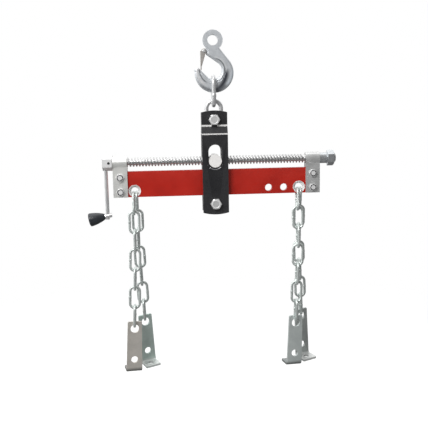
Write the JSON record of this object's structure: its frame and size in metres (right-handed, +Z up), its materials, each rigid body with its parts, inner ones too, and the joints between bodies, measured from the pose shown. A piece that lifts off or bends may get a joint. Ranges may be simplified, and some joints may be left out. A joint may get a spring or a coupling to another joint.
{
  "type": "engine load leveler",
  "caption": "Crank-adjusted tilting lift bar that hangs from a latched hook, with a screw-driven hanger and chains ending in angle brackets.",
  "frame": {"origin": "centre of the hook eye", "axes": "+X along the bar away from the crank, +Y to the rear, +Z up"},
  "size_m": [0.487, 0.0654, 0.6648],
  "materials": {
    "zinc": "bright zinc plate",
    "chain_zinc": "zinc plate, slightly grey",
    "steel": "plain machined",
    "red_paint": "gloss paint",
    "black_paint": "gloss paint",
    "black_plastic": "satin moulded"
  },
  "bodies": {
    "hook": {"hook": "zinc", "latch_pin": "zinc", "latch_spring": "steel"},
    "hook_latch": {"hook_latch": "zinc"},
    "upper_link": {"upper_link": "zinc"},
    "lower_link": {"lower_link": "zinc"},
    "hanger": {"hanger_plate_front": "black_paint", "hanger_plate_rear": "black_paint", "hanger_bolts": "zinc", "hanger_nuts": "zinc"},
    "roller_bush": {"roller_bush": "steel"},
    "roller": {"roller": "steel"},
    "travelling_nut": {"travelling_nut": "steel"},
    "bar": {"bar": "red_paint", "end_strap_left": "zinc", "end_strap_right": "zinc", "strap_bolts": "zinc", "strap_nuts": "zinc"},
    "screw": {"lead_screw": "zinc", "stop_sleeve": "zinc", "end_nut": "zinc", "crank_hub": "zinc", "hub_set_screw": "black_paint", "crank_arm": "zinc", "knob_pin": "zinc"},
    "crank_knob": {"crank_knob": "black_plastic"},
    "left_front_link_1": {"left_front_link_1": "chain_zinc"},
    "left_front_link_2": {"left_front_link_2": "chain_zinc"},
    "left_front_link_3": {"left_front_link_3": "chain_zinc"},
    "left_front_link_4": {"left_front_link_4": "chain_zinc"},
    "left_front_link_5": {"left_front_link_5": "chain_zinc"},
    "left_front_link_6": {"left_front_link_6": "chain_zinc"},
    "left_front_link_7": {"left_front_link_7": "chain_zinc"},
    "left_front_bracket": {"left_front_bracket": "chain_zinc"},
    "left_rear_link_1": {"left_rear_link_1": "chain_zinc"},
    "left_rear_link_2": {"left_rear_link_2": "chain_zinc"},
    "left_rear_link_3": {"left_rear_link_3": "chain_zinc"},
    "left_rear_link_4": {"left_rear_link_4": "chain_zinc"},
    "left_rear_link_5": {"left_rear_link_5": "chain_zinc"},
    "left_rear_link_6": {"left_rear_link_6": "chain_zinc"},
    "left_rear_link_7": {"left_rear_link_7": "chain_zinc"},
    "left_rear_bracket": {"left_rear_bracket": "chain_zinc"},
    "right_front_link_1": {"right_front_link_1": "chain_zinc"},
    "right_front_link_2": {"right_front_link_2": "chain_zinc"},
    "right_front_link_3": {"right_front_link_3": "chain_zinc"},
    "right_front_link_4": {"right_front_link_4": "chain_zinc"},
    "right_front_link_5": {"right_front_link_5": "chain_zinc"},
    "right_front_link_6": {"right_front_link_6": "chain_zinc"},
    "right_front_link_7": {"right_front_link_7": "chain_zinc"},
    "right_front_bracket": {"right_front_bracket": "chain_zinc"},
    "right_rear_link_1": {"right_rear_link_1": "chain_zinc"},
    "right_rear_link_2": {"right_rear_link_2": "chain_zinc"},
    "right_rear_link_3": {"right_rear_link_3": "chain_zinc"},
    "right_rear_link_4": {"right_rear_link_4": "chain_zinc"},
    "right_rear_link_5": {"right_rear_link_5": "chain_zinc"},
    "right_rear_link_6": {"right_rear_link_6": "chain_zinc"},
    "right_rear_link_7": {"right_rear_link_7": "chain_zinc"},
    "right_rear_bracket": {"right_rear_bracket": "chain_zinc"}
  },
  "joints": [
    {"name": "latch_pivot", "type": "hinge", "parent": "hook", "child": "hook_latch", "pos_m": [-0.017, 0, -0.02], "axis": [0, -1, 0], "range_deg": [0, 35], "stiffness_Nm_per_rad": 0.03, "springref_deg": -20.05},
    {"name": "upper_link_swing", "type": "hinge", "parent": "hook", "child": "upper_link", "pos_m": [0, 0, -0.0817], "axis": [1, 0, 0], "range_deg": [-20, 20]},
    {"name": "lower_link_swing", "type": "hinge", "parent": "upper_link", "child": "lower_link", "pos_m": [0, 0, -0.1217], "axis": [0, 1, 0], "range_deg": [-40, 40]},
    {"name": "hanger_swing", "type": "hinge", "parent": "lower_link", "child": "hanger", "pos_m": [0, 0, -0.1491], "axis": [0, 1, 0], "range_deg": [-30, 30]},
    {"name": "bar_tilt", "type": "hinge", "parent": "hanger", "child": "roller_bush", "pos_m": [0, 0, -0.3104], "axis": [0, 1, 0], "range_deg": [-20, 20]},
    {"name": "roller_spin", "type": "hinge", "parent": "roller_bush", "child": "roller", "pos_m": [0, 0, -0.3104], "axis": [0, 1, 0], "range_deg": [-344, 344]},
    {"name": "nut_shift", "type": "slide", "parent": "roller_bush", "child": "travelling_nut", "axis": [1, 0, 0], "range_m": [-0.031, 0.031]},
    {"name": "bar_travel", "type": "slide", "parent": "travelling_nut", "child": "bar", "axis": [1, 0, 0], "range_m": [-0.09, 0.09]},
    {"name": "screw_turn", "type": "hinge", "parent": "bar", "child": "screw", "pos_m": [0.004, 0, -0.2276], "axis": [1, 0, 0], "range_deg": [-5401, 5401]},
    {"name": "knob_spin", "type": "hinge", "parent": "screw", "child": "crank_knob", "pos_m": [-0.2117, 0, -0.3311], "axis": [0.9781, 0, 0.2079], "continuous": true},
    {"name": "left_front_link_1_swing", "type": "hinge", "parent": "bar", "child": "left_front_link_1", "pos_m": [-0.1599, 0.0008, -0.286], "axis": [0, 0.9744, -0.225], "range_deg": [0, 20]},
    {"name": "left_front_link_2_swing", "type": "hinge", "parent": "left_front_link_1", "child": "left_front_link_2", "pos_m": [-0.1599, -0.00759, -0.32234], "axis": [-1, 0, 0], "range_deg": [0, 30]},
    {"name": "left_front_link_3_swing", "type": "hinge", "parent": "left_front_link_2", "child": "left_front_link_3", "pos_m": [-0.1599, -0.01071, -0.35951], "axis": [0, 0.9965, -0.0837], "range_deg": [0, 25]},
    {"name": "left_front_link_4_swing", "type": "hinge", "parent": "left_front_link_3", "child": "left_front_link_4", "pos_m": [-0.1599, -0.01383, -0.39668], "axis": [-0.9991, 0.0019, 0.0418], "range_deg": [0, 30]},
    {"name": "left_front_link_5_swing", "type": "hinge", "parent": "left_front_link_4", "child": "left_front_link_5", "pos_m": [-0.16146, -0.01552, -0.43391], "axis": [0, 0.999, -0.0454], "range_deg": [0, 25]},
    {"name": "left_front_link_6_swing", "type": "hinge", "parent": "left_front_link_5", "child": "left_front_link_6", "pos_m": [-0.16302, -0.01721, -0.47114], "axis": [-0.9991, 0.0019, 0.0418], "range_deg": [0, 30]},
    {"name": "left_front_link_7_swing", "type": "hinge", "parent": "left_front_link_6", "child": "left_front_link_7", "pos_m": [-0.16459, -0.0189, -0.50837], "axis": [0, 0.999, -0.0454], "range_deg": [0, 25]},
    {"name": "left_front_bracket_swing", "type": "hinge", "parent": "left_front_link_7", "child": "left_front_bracket", "pos_m": [-0.16638, -0.02084, -0.55109], "axis": [-0.9773, -0.2058, 0.0503], "range_deg": [0, 8]},
    {"name": "left_rear_link_1_swing", "type": "hinge", "parent": "bar", "child": "left_rear_link_1", "pos_m": [-0.1541, -0.0008, -0.286], "axis": [0, -0.9744, -0.225], "range_deg": [0, 20]},
    {"name": "left_rear_link_2_swing", "type": "hinge", "parent": "left_rear_link_1", "child": "left_rear_link_2", "pos_m": [-0.1541, 0.00759, -0.32234], "axis": [1, 0, 0], "range_deg": [0, 30]},
    {"name": "left_rear_link_3_swing", "type": "hinge", "parent": "left_rear_link_2", "child": "left_rear_link_3", "pos_m": [-0.1541, 0.01071, -0.35951], "axis": [0, -0.9965, -0.0837], "range_deg": [0, 25]},
    {"name": "left_rear_link_4_swing", "type": "hinge", "parent": "left_rear_link_3", "child": "left_rear_link_4", "pos_m": [-0.1541, 0.01383, -0.39668], "axis": [0.9991, -0.0019, 0.0418], "range_deg": [0, 30]},
    {"name": "left_rear_link_5_swing", "type": "hinge", "parent": "left_rear_link_4", "child": "left_rear_link_5", "pos_m": [-0.15254, 0.01552, -0.43391], "axis": [0, -0.999, -0.0454], "range_deg": [0, 25]},
    {"name": "left_rear_link_6_swing", "type": "hinge", "parent": "left_rear_link_5", "child": "left_rear_link_6", "pos_m": [-0.15098, 0.01721, -0.47114], "axis": [0.9991, -0.0019, 0.0418], "range_deg": [0, 30]},
    {"name": "left_rear_link_7_swing", "type": "hinge", "parent": "left_rear_link_6", "child": "left_rear_link_7", "pos_m": [-0.14941, 0.0189, -0.50837], "axis": [0, -0.999, -0.0454], "range_deg": [0, 25]},
    {"name": "left_rear_bracket_swing", "type": "hinge", "parent": "left_rear_link_7", "child": "left_rear_bracket", "pos_m": [-0.14762, 0.02084, -0.55109], "axis": [0.9197, 0.3886, 0.0562], "range_deg": [0, 8]},
    {"name": "right_front_link_1_swing", "type": "hinge", "parent": "bar", "child": "right_front_link_1", "pos_m": [0.1621, 0.0008, -0.286], "axis": [0, 0.9744, -0.225], "range_deg": [0, 20]},
    {"name": "right_front_link_2_swing", "type": "hinge", "parent": "right_front_link_1", "child": "right_front_link_2", "pos_m": [0.1621, -0.00759, -0.32234], "axis": [-1, 0, 0], "range_deg": [0, 30]},
    {"name": "right_front_link_3_swing", "type": "hinge", "parent": "right_front_link_2", "child": "right_front_link_3", "pos_m": [0.1621, -0.01071, -0.35951], "axis": [0, 0.9965, -0.0837], "range_deg": [0, 25]},
    {"name": "right_front_link_4_swing", "type": "hinge", "parent": "right_front_link_3", "child": "right_front_link_4", "pos_m": [0.1621, -0.01383, -0.39668], "axis": [-0.9991, 0.0019, 0.0418], "range_deg": [0, 30]},
    {"name": "right_front_link_5_swing", "type": "hinge", "parent": "right_front_link_4", "child": "right_front_link_5", "pos_m": [0.16054, -0.01552, -0.43391], "axis": [0, 0.999, -0.0454], "range_deg": [0, 25]},
    {"name": "right_front_link_6_swing", "type": "hinge", "parent": "right_front_link_5", "child": "right_front_link_6", "pos_m": [0.15898, -0.01721, -0.47114], "axis": [-0.9991, 0.0019, 0.0418], "range_deg": [0, 30]},
    {"name": "right_front_link_7_swing", "type": "hinge", "parent": "right_front_link_6", "child": "right_front_link_7", "pos_m": [0.15741, -0.0189, -0.50837], "axis": [0, 0.999, -0.0454], "range_deg": [0, 25]},
    {"name": "right_front_bracket_swing", "type": "hinge", "parent": "right_front_link_7", "child": "right_front_bracket", "pos_m": [0.15562, -0.02084, -0.55109], "axis": [-0.9773, -0.2058, 0.0503], "range_deg": [0, 8]},
    {"name": "right_rear_link_1_swing", "type": "hinge", "parent": "bar", "child": "right_rear_link_1", "pos_m": [0.1679, -0.0008, -0.286], "axis": [0, -0.9744, -0.225], "range_deg": [0, 20]},
    {"name": "right_rear_link_2_swing", "type": "hinge", "parent": "right_rear_link_1", "child": "right_rear_link_2", "pos_m": [0.1679, 0.00759, -0.32234], "axis": [1, 0, 0], "range_deg": [0, 30]},
    {"name": "right_rear_link_3_swing", "type": "hinge", "parent": "right_rear_link_2", "child": "right_rear_link_3", "pos_m": [0.1679, 0.01071, -0.35951], "axis": [0, -0.9965, -0.0837], "range_deg": [0, 25]},
    {"name": "right_rear_link_4_swing", "type": "hinge", "parent": "right_rear_link_3", "child": "right_rear_link_4", "pos_m": [0.1679, 0.01383, -0.39668], "axis": [0.9991, -0.0019, 0.0418], "range_deg": [0, 30]},
    {"name": "right_rear_link_5_swing", "type": "hinge", "parent": "right_rear_link_4", "child": "right_rear_link_5", "pos_m": [0.16946, 0.01552, -0.43391], "axis": [0, -0.999, -0.0454], "range_deg": [0, 25]},
    {"name": "right_rear_link_6_swing", "type": "hinge", "parent": "right_rear_link_5", "child": "right_rear_link_6", "pos_m": [0.17102, 0.01721, -0.47114], "axis": [0.9991, -0.0019, 0.0418], "range_deg": [0, 30]},
    {"name": "right_rear_link_7_swing", "type": "hinge", "parent": "right_rear_link_6", "child": "right_rear_link_7", "pos_m": [0.17259, 0.0189, -0.50837], "axis": [0, -0.999, -0.0454], "range_deg": [0, 25]},
    {"name": "right_rear_bracket_swing", "type": "hinge", "parent": "right_rear_link_7", "child": "right_rear_bracket", "pos_m": [0.17438, 0.02084, -0.55109], "axis": [0.9197, 0.3886, 0.0562], "range_deg": [0, 8]}
  ],
  "couplings": [
    {"joint": "nut_shift", "follows": "bar_tilt", "m_per_rad": -0.085284},
    {"joint": "roller_spin", "follows": "bar_travel", "rad_per_m": 66.667},
    {"joint": "screw_turn", "follows": "bar_travel", "rad_per_m": 1047.2}
  ]
}
